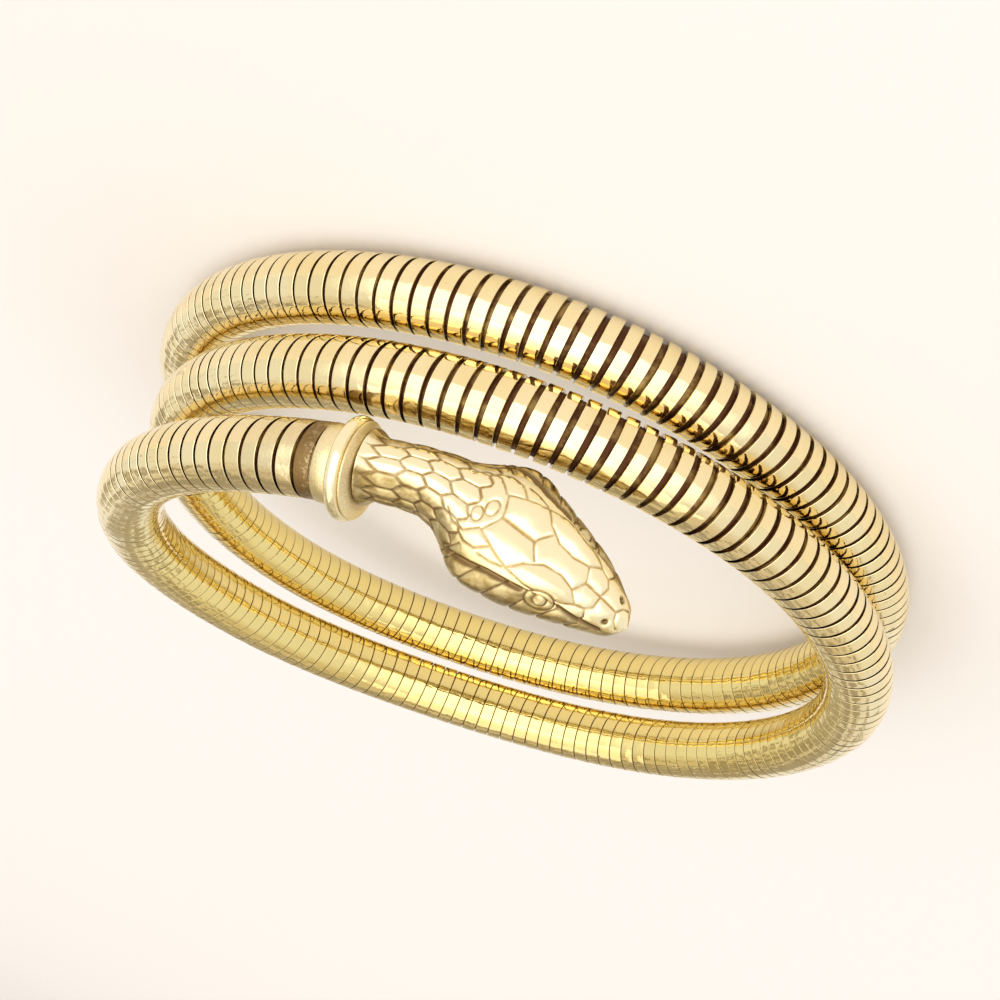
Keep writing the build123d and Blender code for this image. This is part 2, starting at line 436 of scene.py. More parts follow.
# Outer strip's section: place across in half widths, depth below the tube's surface
bevel_start = 1 - 2 * strip_edge_bevel / (band_share * strip_pitch)
bevel_knee = knee_share + (1 - knee_share) * bevel_start
STRIP_SECTION = [
    {"across": -1.0, "depth": strip_thickness},
    {"across": -1.0, "depth": strip_edge_bevel},
    {"across": -bevel_knee, "depth": knee_depth * strip_edge_bevel},
    {"across": -bevel_start, "depth": strip_crown},
    {"across": 0.0, "depth": 0.0},
    {"across": bevel_start, "depth": strip_crown},
    {"across": bevel_knee, "depth": knee_depth * strip_edge_bevel},
    {"across": 1.0, "depth": strip_edge_bevel},
    {"across": 1.0, "depth": strip_thickness},
    {"across": -1.0, "depth": strip_thickness},
]
# The lining's section, in the same way
LINING_SECTION = [
    {"across": -1.0, "depth": lining_thickness},
    {"across": -1.0, "depth": lining_crown},
    {"across": 0.0, "depth": 0.0},
    {"across": 1.0, "depth": lining_crown},
    {"across": 1.0, "depth": lining_thickness},
    {"across": -1.0, "depth": lining_thickness},
]
# Of the lengthwise edges only the one on this column's crest is smooth
CREST = 4

# The collar leans against the tube, and the strip runs on until it meets the sleeve
tube_end = coil_section(neck_angle)
collar_section = tube_end.leaned(collar_tilt, collar_turn).shifted(collar_gap)


def strip_end(around):
    """Distance from the tail at which the collar stops the strip, at an angle round the tube."""
    radius = tube_diameter / 2
    skin = tube_end.at(math.cos(around) * radius, math.sin(around) * radius, 0)
    away = (collar_section.place - skin).dot(collar_section.along)
    return tube_length + away / tube_end.along.dot(collar_section.along) - strip_clearance


# Each turn of the strip leans a little to one side, as hand-set bands do
SEED = 7
SPARE_TURNS = 4
chance = random.Random(SEED)
LEANS = [chance.uniform(-band_lean, band_lean) for turn in range(turns_of_strip + SPARE_TURNS)]


def lean_at(turn):
    """The strip's lean at a turn, changing evenly from one turn's to the next one's."""
    whole = math.floor(turn)
    return LEANS[whole + 1] + (LEANS[whole + 2] - LEANS[whole + 1]) * (turn - whole)


OUTER_STRIP = {
    "section": STRIP_SECTION,
    "width": strip_width,
    "diameter": tube_diameter,
    "shift": 0.0,
    "steps": STRIP_STEPS,
    "slot": "polished_strip",
}
LINING_STRIP = {
    "section": LINING_SECTION,
    "width": lining_width,
    "diameter": lining_diameter,
    "shift": lining_shift,
    "steps": LINING_STEPS,
    "slot": "dark_inner_strip",
}


def wound_strip(name, strip, first_turn, last_turn, node):
    """A strip wound round the centre line in a left-handed screw line, cut to fit both ends."""
    section = strip["section"]
    columns = len(section) - 1
    rows = round((last_turn - first_turn) * strip["steps"])
    bm, table, layers = marked_grid(columns, rows, ["column", "turn", "across", "outer"])
    for row, line in enumerate(table):
        turn = first_turn + (last_turn - first_turn) * row / rows
        middle = (turn + strip["shift"]) * strip_pitch
        place = section_at(middle)
        around = -2 * math.pi * (turn - strip_phase)
        high_end = strip_end(around)
        width = strip["width"](middle, around)
        lean = lean_at(turn)
        low = min(max(middle - width / 2, strip_clearance), high_end - strip_sliver)
        high = max(min(middle + width / 2, high_end), low + strip_sliver)
        outward, up = math.cos(around), math.sin(around)
        for column, point in enumerate(section):
            across = point["across"]
            radius = strip["diameter"] / 2 - point["depth"] + lean * across
            along = low + (high - low) * (across + 1) / 2 - middle
            line[column].co = place.at(outward * radius, up * radius, along)
            values = {"column": column % columns, "turn": turn, "across": across, "outer": outward}
            set_marks(line[column], layers, values)
    close_up(bm)
    for edge in bm.edges:
        first, second = edge.verts
        if first[layers["column"]] == second[layers["column"]]:
            edge.smooth = first[layers["column"]] == CREST
    return finish_piece(name, bm, strip["slot"], node)


# The outer strip starts and ends beyond the tube's own ends, where it is cut off
turn_first = -strip_overrun_low
turn_last = turns_of_strip + strip_overrun_high
turn_split = turns_of_strip / 2
lower_strip = wound_strip(
    "lower_strip", OUTER_STRIP, turn_first, turn_split - strip_split_gap, "lower_winding"
)
upper_strip = wound_strip(
    "upper_strip", OUTER_STRIP, turn_split + strip_split_gap, turn_last, "upper_winding"
)
lining = wound_strip("inner_lining", LINING_STRIP, 0.0, turns_of_strip, "inner_strip")


# The collar's turned section, from the sleeve to the seat that the neck is soldered on:
# place along it, radius, and how grainy the metal is there; below 0.5 the mark also paints it
# paler as highlight, and above 1 darker as shade in the hollows
collar_length = sleeve_length + bead_thickness + collar_face_length
sleeve_radius = sleeve_diameter / 2
ring_middle = bead_diameter / 2 - ring_radius
COLLAR = [
    {"along": 0.00, "radius": 0.0, "grain_sheen_and_shade": 0.5},
    {"along": 0.00, "radius": sleeve_radius - sleeve_rounding, "grain_sheen_and_shade": 0.5},
    {"along": sleeve_rounding, "radius": sleeve_radius, "grain_sheen_and_shade": 0.5},
    {"along": sleeve_length - 0.12, "radius": sleeve_radius, "grain_sheen_and_shade": 0.6},
    {"along": sleeve_length - 0.02, "radius": sleeve_radius - sleeve_rounding, "grain_sheen_and_shade": 1.0},
]
# The bead's round outline, by degrees, from the sleeve's side over its rubbed crest, painted paler
# there as highlight
BEAD_FROM = 155
BEAD_TO = 15
RUBBED_AND_HIGHLIGHT_TO = 50
for degrees in range(BEAD_FROM, BEAD_TO - 1, -BEAD_STEP):
    turned = math.radians(degrees)
    COLLAR.append({
        "along": sleeve_length + ring_radius * (1 + math.cos(turned)),
        "radius": ring_middle + ring_radius * math.sin(turned),
        "grain_sheen_and_shade": 0.0 if degrees > RUBBED_AND_HIGHLIGHT_TO else 0.4,
    })
flange_start = sleeve_length + 2 * ring_radius
COLLAR += [
    {"along": flange_start + 0.01, "radius": ring_middle + 0.12, "grain_sheen_and_shade": 1.7},
    {"along": flange_start + 0.03, "radius": ring_middle + 0.30, "grain_sheen_and_shade": 1.2},
    {"along": flange_start + 0.10, "radius": ring_middle + 0.36, "grain_sheen_and_shade": 0.7},
    {"along": flange_start + 0.18, "radius": ring_middle + 0.28, "grain_sheen_and_shade": 0.8},
    {"along": collar_length - 0.20, "radius": ring_middle - 0.10, "grain_sheen_and_shade": 0.9},
    {"along": collar_length - 0.06, "radius": neck_diameter / 2 + 0.75, "grain_sheen_and_shade": 1.1},
    {"along": collar_length, "radius": neck_diameter / 2 + 0.40, "grain_sheen_and_shade": 1.3},
    {"along": collar_length, "radius": 0.0, "grain_sheen_and_shade": 2.0},
]


def turned_ring(profile, steps):
    """Spins a profile of places along and radii, from axis to axis, into one closed skin."""
    bm = bmesh.new()
    grain_sheen_and_shade_mark = bm.verts.layers.float.new("grain_sheen_and_shade")
    corners = [bm.verts.new((point["radius"], point["along"], 0)) for point in profile]
    for corner, point in zip(corners, profile):
        corner[grain_sheen_and_shade_mark] = point["grain_sheen_and_shade"]
    edges = [bm.edges.new(pair) for pair in zip(corners, corners[1:])]
    bmesh.ops.spin(
        bm, geom=corners + edges, cent=(0, 0, 0), axis=(0, 1, 0), angle=2 * math.pi,
        steps=steps, use_merge=True, use_duplicate=False,
    )
    bmesh.ops.remove_doubles(bm, verts=bm.verts, dist=WELD)
    return bm


def bead_collar():
    """Sleeve, bead and grainy face in one turned and soldered piece."""
    bm = turned_ring(COLLAR, COLLAR_STEPS)
    for vertex in bm.verts:
        vertex.co = collar_section.at(vertex.co.x, vertex.co.z, vertex.co.y)
    face_outwards(bm)
    return finish_piece("bead_collar", bm, "polished_collar", "collar")


def tail_cap():
    """Plain tapered cap that goes on along the coil's own curve to a rounded tip."""
    profile = [{"along": 0.0, "radius": 0.0, "grain_sheen_and_shade": TAIL_GRAIN_AND_SHEEN}]
    for step in range(TAIL_STEPS + 1):
        share = step / TAIL_STEPS
        taper = between(TAIL, "taper", "along", share)
        diameter = tail_sleeve_diameter + (tail_tip_diameter - tail_sleeve_diameter) * taper
        row = {"along": -share * tail_length, "radius": diameter / 2, "grain_sheen_and_shade": TAIL_GRAIN_AND_SHEEN}
        profile.append(row)
    profile.append({"along": -tail_length - tail_rounding, "radius": 0.0, "grain_sheen_and_shade": TAIL_GRAIN_AND_SHEEN})
    bm = turned_ring(profile, TAIL_ROUND_STEPS)
    degrees_per_mm = math.degrees(1 / coil_point(tail_angle).length)
    for vertex in bm.verts:
        angle = tail_angle + (vertex.co.y - joint_gap) * degrees_per_mm
        vertex.co = coil_section(angle).at(vertex.co.x, vertex.co.z, 0)
    face_outwards(bm)
    return finish_piece("tapered_tail", bm, "polished_collar", "tail_cap")


collar = bead_collar()
tail = tail_cap()

neck_section = collar_section.shifted(collar_length + joint_gap)


def head_axis(along):
    """Point on the line that the head follows from the neck's seat to the snout."""
    lean = head_lean * between(HEAD_LINE, "lean", "along", along)
    drop = head_drop * between(HEAD_LINE, "drop", "along", along)
    reach = math.sqrt(head_length**2 - head_lean**2 - head_drop**2) * along
    return Vector((-drop, lean, reach))


def side_of(around):
    """The angle from the side, the same on the head's two mirrored halves; 90 is the crown."""
    turned = around if math.cos(math.radians(around)) >= 0 else 180 - around
    return (turned + 180) % 360 - 180


def signed_power(value, power):
    """A power that keeps the value's sign, which squares the head's round sections a little."""
    return math.copysign(abs(value) ** power, value)


class HeadStation:
    """One cross-section of the head, with what all of its skin's points share."""

    def __init__(self, along):
        self.along = along
        self.distance = along * head_length
        neck = neck_diameter / 2
        self.half = neck + (head_width / 2 - neck) * between(HEAD, "width", "along", along)
        self.crown_height = head_height * between(HEAD, "crown", "along", along)
        self.jaw_height = head_height * between(HEAD, "jaw", "along", along)
        flare = neck_flare * bell(self.distance, neck_flare_length)
        self.half += flare
        self.crown_height += flare
        self.jaw_height += flare
        self.power = 2 / between(HEAD, "square", "along", along)
        ahead = head_axis(min(along + tangent_step, 1)) - head_axis(along - tangent_step)
        ahead = ahead.normalized()
        self.crown = (Vector((1, 0, 0)) - ahead * ahead.x).normalized()
        self.side = ahead.cross(self.crown)
        self.middle = head_axis(along)
        self.round_radius = math.hypot(self.half, self.crown_height) / math.sqrt(2)
        fade_in = clamped((along - relief_start) / relief_fade_in)
        self.fade = min(fade_in, (1 - along) / relief_fade_out)
        from_end = min(along - CREASE[0]["along"], CREASE[-1]["along"] - along)
        self.crease_open = clamped(from_end / crease_fade)
        self.crease = between(CREASE, "around", "along", along) if from_end > 0 else None
        self.mouth_open = clamped((along - mouth_start) / mouth_fade)
        self.bumps = []
        for row in RELIEF:
            near = bell(along - row["along"], row["reach"])
            if near > FAINT:
                self.bumps.append((row["around"], row["spread"], row["rise"] * near))

    def relief(self, side):
        """Rise of the cast surface over the plain section, in millimetres."""
        rise = 0.0
        for around, spread, height in self.bumps:
            rise += height * bell(side - around, spread)
        if self.crease is not None:
            rise -= crease_depth * self.crease_open * bell(side - self.crease, crease_spread)
        return rise - mouth_depth * self.mouth_open * bell(side - mouth_level, mouth_spread)

    def from_crown(self, side):
        """Distance round the skin from the crown's middle line."""
        return math.radians(90 - side) * self.round_radius

    def skin(self, around, carved):
        """Point of the skin, with its own relief and the carving given added."""
        turned = math.radians(around)
        height = self.crown_height if math.sin(turned) >= 0 else self.jaw_height
        wide = signed_power(math.cos(turned), self.power) * self.half
        high = signed_power(math.sin(turned), self.power) * height
        lift = self.relief(side_of(around)) * self.fade + carved
        grown = 1 + lift / max(math.hypot(wide, high), least_radius)
        place = self.middle + self.side * (wide * grown) + self.crown * (high * grown)
        return neck_section.at(place.x, place.y, place.z)


# The seams between the crown's plates, each a run of (along, side) points on both halves
SEAMS = {
    "parietals": [(0.500, 90), (0.617, 90)],
    "frontal back": [(0.617, 90), (0.650, 78)],
    "brow inside": [(0.595, 58), (0.628, 71), (0.68, 80), (0.74, 81), (0.79, 75), (0.825, 59)],
    "brow outside": [(0.595, 58), (0.66, 51), (0.73, 48), (0.79, 50), (0.825, 59)],
    "parietal side": [(0.471, 73), (0.52, 68), (0.565, 62), (0.595, 58)],
    "parietal back": [(0.500, 90), (0.471, 73)],
    "frontal front": [(0.792, 75), (0.812, 90)],
    "prefrontals": [(0.812, 90), (0.935, 90)],
    "prefrontal front": [(0.825, 59), (0.858, 61), (0.873, 72), (0.870, 90)],
    "rostral": [(0.935, 90), (0.947, 70), (0.967, 48)],
    "loreal": [(0.858, 61), (0.868, 45), (0.862, 32)],
    "rear temple": [(0.338, 59), (0.373, 53), (0.421, 58), (0.464, 73)],
    "middle temple": [(0.406, 53), (0.444, 51), (0.486, 55), (0.519, 66)],
    "front temple": [(0.506, 53), (0.549, 54), (0.586, 57)],
    "jaw cut": [(0.396, 7), (0.419, 32), (0.439, 45)],
}
# The dark fold under the crown's edge, broken by the eye; its darkness is painted shade
FOLDS = {
    "behind eye": [(0.416, 22), (0.45, 29), (0.514, 37), (0.561, 42), (0.66, 41)],
    "before eye": [(0.79, 41), (0.862, 33), (0.925, 27)],
}
EYES = [{"along": 0.729, "around": 36.0}, {"along": 0.729, "around": 144.0}]
NOSTRILS = [{"along": 0.927, "around": 56.0}, {"along": 0.927, "around": 124.0}]
# Rings cut round two small scales behind the crown's plates, and round the eyes
RINGS = [
    {"along": 0.429, "around": 80.0, "radius": 0.44},
    {"along": 0.457, "around": 91.0, "radius": 0.42},
]
for eye in EYES:
    RINGS += [{**eye, "radius": eye_width}, {**eye, "radius": pupil_width}]

# Farther than any cut on the head, and the step between rings of six-sided scales, in widths
FAR = 9.0
HEX_STEP = 0.866


def placed_runs(table):
    """A table's runs as short straight pieces in distances along and from the crown's middle."""
    pieces = []
    for points in table.values():
        placed = []
        for along, side in points:
            station = HeadStation(along)
            placed.append((station.distance, station.from_crown(side)))
        pieces += list(zip(placed, placed[1:]))
    return pieces


def to_runs(runs, x, y):
    """Distance from a point to the nearest of some straight pieces."""
    nearest = FAR
    for (x1, y1), (x2, y2) in runs:
        run_x, run_y = x2 - x1, y2 - y1
        share = clamped(((x - x1) * run_x + (y - y1) * run_y) / (run_x**2 + run_y**2))
        nearest = min(nearest, math.hypot(x - x1 - run_x * share, y - y1 - run_y * share))
    return nearest


def to_scale_edge(x, y):
    """Distance to the edge of the six-sided scale that a point lies on."""
    across = y / scale_width
    run = x / scale_step * HEX_STEP
    first_ring = math.floor(x / scale_step)
    nearest, second = FAR, FAR
    for ring in (first_ring, first_ring + 1):
        offset = 0.5 * (ring % 2)
        column = round(across - offset)
        for beside in (column - 1, column, column + 1):
            away = (run - ring * HEX_STEP) ** 2 + (across - beside - offset) ** 2
            if away < nearest:
                nearest, second = away, nearest
            elif away < second:
                second = away
    return (second - nearest) / 2 * scale_width


SEAM_RUNS = placed_runs(SEAMS)
FOLD_RUNS = placed_runs(FOLDS)


class Carving:
    """What is cut in the head's skin at one station, as distances in millimetres."""

    def __init__(self, station):
        self.station = station
        self.seams = self.close_by(SEAM_RUNS)
        self.folds = self.close_by(FOLD_RUNS)
        from_foot, from_snout = station.along, 1 - station.along
        self.shown = clamped(from_foot / carving_fade) * clamped(from_snout / carving_fade)

    def close_by(self, runs):
        """The straight pieces of seam or fold that can reach this station."""
        low = self.station.distance - carving_reach
        high = self.station.distance + carving_reach
        return [
            (start, end) for start, end in runs
            if min(start[0], end[0]) < high and max(start[0], end[0]) > low
        ]

    def to_spot(self, spot, around):
        """Distance over the skin to a spot given by its place along and around."""
        ahead = (self.station.along - spot["along"]) * head_length
        return math.hypot(ahead, math.radians(around - spot["around"]) * self.station.round_radius)

    def in_eye(self, around):
        """Whether the place lies inside an eye's ring."""
        return min(self.to_spot(eye, around) for eye in EYES) < eye_width

    def lip_edge(self, side):
        """Distance to the nearest edge between two lip scales, which lean towards the snout."""
        height = (side - mouth_level) / (self.station.crease - mouth_level)
        step = (self.station.along - lip_start - lip_lean * height**2) / lip_scale
        return abs(step - round(step)) * lip_scale * head_length

    def scute_edge(self):
        """Distance to the nearest edge between the broad plates across the throat."""
        step = self.station.distance / scale_step
        return abs(step - round(step)) * scale_step

    def to_cut(self, around, side):
        """Distance to the nearest cut: crown plates, lip scales, throat plates or small scales."""
        station = self.station
        x, y = station.distance, station.from_crown(side)
        rings = min(abs(self.to_spot(ring, around) - ring["radius"]) for ring in RINGS)
        if self.in_eye(around):
            return rings
        cut = min(rings, to_runs(self.seams, x, y))
        if station.along > lip_end:
            return cut
        if station.crease is None:
            return min(cut, to_scale_edge(x, y))
        if side < mouth_level:
            return self.scute_edge()
        if side < station.crease:
            return min(cut, self.lip_edge(side))
        if station.along > temple_start:
            return cut
        return min(cut, to_scale_edge(x, y))

    def to_fold(self, around, side):
        """Distance to the dark fold, which the eye breaks."""
        if self.in_eye(around):
            return FAR
        return to_runs(self.folds, self.station.distance, self.station.from_crown(side))


def snake_head():
    """Neck and head in one skin, from its foot on the collar to the snout."""
    marks = ["groove", "fold", "side", "along"]
    bm, table, layers = marked_grid(HEAD_COLUMNS, HEAD_ROWS, marks)
    for row, line in enumerate(table):
        share = 1 - (1 - row / HEAD_ROWS) ** snout_crowding
        along = (1 + neck_overlap) * share - neck_overlap
        station = HeadStation(along)
        carving = Carving(station)
        for column, vertex in enumerate(line):
            around = 360 * column / HEAD_COLUMNS
            side = side_of(around)
            cut = carving.to_cut(around, side)
            nostril = min(carving.to_spot(spot, around) for spot in NOSTRILS)
            groove = bell(cut, groove_width) * carving.shown
            fold = bell(carving.to_fold(around, side), fold_width) * carving.shown
            # The nostrils share the fold's mark, so they too are cut deeper and painted dark as
            # shade
            fold = max(fold, bell(nostril, nostril_width))
            dome = (1 - bell(cut, plate_dome_width)) * carving.shown
            carved = plate_dome * dome - groove_depth * groove - fold_depth * fold
            vertex.co = station.skin(around, carved)
            values = {"groove": groove, "fold": fold, "side": side, "along": along}
            set_marks(vertex, layers, values)
    close_up(bm)
    return finish_piece("scaled_head", bm, "cast_head", "snake_head")


head = snake_head()


class Value:
    """One output of a shader node; arithmetic on it adds Math nodes."""

    def __init__(self, nodes, socket):
        self.nodes = nodes
        self.socket = socket

    def combined(self, operation, first, second):
        """The value of a Math node fed by two values or numbers."""
        return self.nodes.add("Math", {"operation": operation}, {0: first, 1: second})

    def __add__(self, other):
        return self.combined("ADD", self, other)

    def __sub__(self, other):
        return self.combined("SUBTRACT", self, other)

    def __mul__(self, other):
        return self.combined("MULTIPLY", self, other)

    def __radd__(self, other):
        return self.combined("ADD", other, self)

    def __rsub__(self, other):
        return self.combined("SUBTRACT", other, self)

    def __rmul__(self, other):
        return self.combined("MULTIPLY", other, self)


class Nodes:
    """A shader tree under construction."""

    def __init__(self, tree):
        self.tree = tree
        self.tree.nodes.clear()

    def add(self, kind, settings=None, sockets=None, output=0):
        """Adds a node: its settings first, then the values or links of its sockets."""
        node = self.tree.nodes.new("ShaderNode" + kind)
        for name, value in (settings or {}).items():
            setattr(node, name, value)
        for name, value in (sockets or {}).items():
            if isinstance(value, Value):
                self.tree.links.new(value.socket, node.inputs[name])
            else:
                node.inputs[name].default_value = value
        return Value(self, node.outputs[output])

    def place(self):
        """The place on the piece, in its own coordinates."""
        return self.add("TexCoord", output="Object")

    def mark(self, name):
        """A float attribute that the piece's own mesh carries."""
        return self.add("Attribute", {"attribute_name": name}, output="Fac")

    def noise(self, scale, detail=2.0, roughness=0.5, place=None):
        """Cloudy noise between 0 and 1, finer where its scale is larger."""
        sockets = {"Vector": place or self.place(), "Scale": scale}
        sockets.update({"Detail": detail, "Roughness": roughness})
        return self.add("TexNoise", None, sockets)

    def ramp(self, value, low, high, start=0.0, end=1.0):
        """Smooth change from start to end as value goes from low to high."""
        sockets = {"Value": value, "From Min": low, "From Max": high}
        sockets.update({"To Min": start, "To Max": end})
        return self.add("MapRange", {"interpolation_type": "SMOOTHSTEP"}, sockets)

    def blend(self, amount, first, second):
        """Colour between first and second."""
        return self.add("Mix", {"data_type": "RGBA"}, {0: amount, 6: first, 7: second}, 2)

    def bump(self, height, depth, strength):
        """Bumps of a height from 0 to 1, with the depth in millimetres."""
        sockets = {"Height": height, "Distance": depth * MM, "Strength": strength}
        return self.add("Bump", None, sockets)

    def send(self, shader, kind):
        """Links a shader to the output node of a kind."""
        output = self.tree.nodes.new(kind)
        self.tree.links.new(shader.socket, output.inputs["Surface"])


class Metal(Nodes):
    """A material under construction, all of metal."""

    def __init__(self, name):
        self.material = bpy.data.materials.new(name)
        self.material.use_nodes = True
        super().__init__(self.material.node_tree)

    def gold(self, scale):
        """Gold that is paler in broad patches."""
        return self.blend(self.ramp(self.noise(scale, 3.0), 0.35, 0.65), GOLD, GOLD_PALE)

    def shade(self, color, roughness, normal):
        """Finishes the material with its colour, roughness and bumps."""
        sockets = {"Base Color": color, "Metallic": 1.0, "Roughness": roughness, "Normal": normal}
        self.send(self.add("BsdfPrincipled", None, sockets), "ShaderNodeOutputMaterial")
        return self.material


GOLD = (0.90, 0.74, 0.39, 1)
GOLD_PALE = (0.93, 0.79, 0.47, 1)
GOLD_DEEP = (0.87, 0.71, 0.29, 1)
GOLD_WORN = (0.72, 0.50, 0.24, 1)
# Paler gold, painted as highlight on the head's crown and on the collar's polished crest
HIGHLIGHT_GOLD = (0.97, 0.88, 0.60, 1)
# Brown painted as shade on the cheek, the jaw and the neck's lower side
CHEEK_SHADE_BROWN = (0.33, 0.23, 0.08, 1)
SEAM_TAN = (0.50, 0.33, 0.12, 1)
# Tarnish brown, also painted as shade in the strip's gaps, the collar's hollows, the head's lower
# cuts and its folds
TARNISH_AND_SHADE = (0.19, 0.115, 0.045, 1)
STAIN = (0.25, 0.155, 0.06, 1)
# The inner strip's dark brown: partly tarnish, partly painted shade of the gaps
DARK_STRIP = (0.10, 0.040, 0.018, 1)
DARK_STRIP_WORN = (0.33, 0.22, 0.08, 1)

# Turns of the strip, counted from the tail, where it is spotted and then stained at the collar
SPOTS_START = 306.0
STAIN_START = 311.10
STAIN_FULL = 311.18
# How strong the spots, the stain's even part and the worn specks of the whole strip are
SPOTS_SHARE = 0.25
STAIN_EVEN = 0.62
SPECK_SHARE = 0.25

# Depth of the finishes' bumps in millimetres, and how strongly they show
POLISHED_DEPTH = 0.08
POLISHED_BUMP = 0.6
CAST_DEPTH = 0.06
DARK_DEPTH = 0.03
ROUGH_BUMP = 0.5

# How fast the brown of the jaw, painted shade, climbs towards the snout, in degrees for the head's
# length
BROWN_CLIMB = 34.0


def polished_strip():
    """Polished gold strip, a little uneven, stained in its last turns before the collar."""
    metal = Metal("polished_strip")
    turn = metal.mark("turn")
    across = metal.mark("across")
    outer = metal.mark("outer")
    color = metal.blend(metal.ramp(outer, 0.1, -0.8), metal.gold(180.0), GOLD_DEEP)
    speck = metal.ramp(metal.noise(2600.0, 3.0, 0.6), 0.60, 0.72)
    color = metal.blend(speck * SPECK_SHARE, color, GOLD_WORN)
    # The bands' edges darken towards the gaps, most on the coil's inside where the gaps close:
    # partly tarnish, partly painted shade
    edge = metal.ramp(across * across, 0.76, 1.0) * metal.ramp(outer, 0.9, -0.2, 0.10, 0.75)
    color = metal.blend(edge, color, TARNISH_AND_SHADE)
    spotted = metal.ramp(turn, SPOTS_START, STAIN_START, 0.0, SPOTS_SHARE)
    side_of_band = metal.ramp(across, 0.8, -0.9, 0.74, 1.0)
    stained = metal.ramp(turn, STAIN_START, STAIN_FULL) * side_of_band + spotted
    mottle = metal.ramp(metal.noise(3000.0, 4.0, 0.65) + stained * 0.12, 0.40, 0.68)
    color = metal.blend(stained * (STAIN_EVEN + mottle * (1 - STAIN_EVEN)), color, STAIN)
    waves = metal.noise(650.0) + metal.noise(1500.0) * 0.2 + metal.noise(5200.0) * 0.04
    pitted = stained * mottle * 0.3
    normal = metal.bump(waves + pitted, POLISHED_DEPTH, POLISHED_BUMP)
    rough = metal.ramp(metal.noise(900.0, 3.0), 0.3, 0.7, 0.03, 0.12)
    return metal.shade(color, rough + pitted, normal)


def dark_strip():
    """The inner strip, dark brown partly with tarnish and partly as painted shade of the gaps it
    lies in, and worn a little brighter in places.
    """
    metal = Metal("dark_inner_strip")
    worn = metal.ramp(metal.noise(420.0, 4.0, 0.6), 0.45, 0.70)
    color = metal.blend(worn, DARK_STRIP, DARK_STRIP_WORN)
    normal = metal.bump(metal.noise(3000.0, 3.0), DARK_DEPTH, ROUGH_BUMP)
    return metal.shade(color, metal.ramp(worn, 0.0, 1.0, 0.55, 0.38), normal)


def polished_collar():
    """Polished gold where it is rubbed and painted paler there as highlight, grainy elsewhere, and
    darkened in the marked hollows as painted shade.
    """
    metal = Metal("polished_collar")
    grain_sheen_and_shade = metal.mark("grain_sheen_and_shade")
    pits = metal.noise(6500.0, 3.0, 0.7)
    dirt = metal.ramp(metal.noise(8000.0, 4.0, 0.7), 0.40, 0.66)
    # Painted highlight: where the mark is below 0.5 the metal turns paler
    color = metal.blend(metal.ramp(grain_sheen_and_shade, 0.5, 0.0, 0.0, 0.75), metal.gold(200.0), HIGHLIGHT_GOLD)
    color = metal.blend(grain_sheen_and_shade * dirt * 0.32, color, TARNISH_AND_SHADE)
    # Painted shade: where the mark passes 1, in the hollows, the metal darkens towards brown
    color = metal.blend(metal.ramp(grain_sheen_and_shade, 1.0, 2.0, 0.0, 0.75), color, TARNISH_AND_SHADE)
    height = metal.noise(700.0) * 0.4 + pits * grain_sheen_and_shade * 1.2
    normal = metal.bump(height, POLISHED_DEPTH, POLISHED_BUMP)
    return metal.shade(color, metal.ramp(grain_sheen_and_shade, 0.0, 1.0, 0.12, 0.34), normal)


def cast_head():
    """Cast gold: bright plates, painted paler on the crown as highlight, brown cuts, folds and
    nostrils darkened as painted shade, and a cheek and jaw browned as painted shade.
    """
    metal = Metal("cast_head")
    groove = metal.mark("groove")
    fold = metal.mark("fold")
    side = metal.mark("side")
    along = metal.mark("along")
    # Painted highlight: the plates turn paler towards the top of the crown
    color = metal.blend(metal.ramp(side, 48.0, 76.0, 0.0, 0.8), metal.gold(220.0), HIGHLIGHT_GOLD)
    # The cheek, the jaw and the neck's lower side turn brown: painted shade of the lower side,
    # partly tarnish in streaks
    low = metal.ramp(side + along * BROWN_CLIMB, 73.0, 55.0)
    streak = metal.ramp(metal.noise(900.0, 4.0, 0.6), 0.35, 0.65, 0.55, 1.0)
    color = metal.blend(low * streak, color, CHEEK_SHADE_BROWN)
    # Cuts are tan on the crown's plates and, as painted shade, browner on the neck and the cheek
    dirt = metal.ramp(metal.noise(1700.0, 3.0), 0.30, 0.62, 0.55, 1.0)
    below_crown_shade = metal.ramp(side, 62.0, 46.0)
    neck = metal.ramp(along, 0.48, 0.36, 0.0, 0.45)
    seam_patina_and_shade = metal.blend(below_crown_shade + neck * (1 - below_crown_shade), SEAM_TAN, TARNISH_AND_SHADE)
    color = metal.blend(metal.ramp(groove, 0.15, 0.80) * dirt, color, seam_patina_and_shade)
    # Painted shade: the fold and the nostrils turn dark brown
    color = metal.blend(metal.ramp(fold, 0.05, 0.60, 0.0, 0.95), color, TARNISH_AND_SHADE)
    height = metal.noise(900.0, 3.0) + metal.noise(6500.0) * 0.06
    normal = metal.bump(height, CAST_DEPTH, ROUGH_BUMP)
    rough = metal.ramp(metal.noise(700.0, 3.0), 0.3, 0.7, 0.15, 0.25) + low * 0.10 + groove * 0.2
    return metal.shade(color, rough, normal)


FINISHES = [
    (polished_strip(), (lower_strip, upper_strip)),
    (dark_strip(), (lining,)),
    (polished_collar(), (collar, tail)),
    (cast_head(), (head,)),
]
for material, pieces in FINISHES:
    for piece in pieces:
        piece.data.materials.clear()
        piece.data.materials.append(material)


# Floor, lamp and studio are in metres
FLOOR_RADIUS = 20.0
FLOOR_SEGMENTS = 96
FLOOR_COLOR = (0.86, 0.825, 0.81, 1)
FLOOR_ROUGHNESS = 0.8
FLOOR_GLOW = 0.05


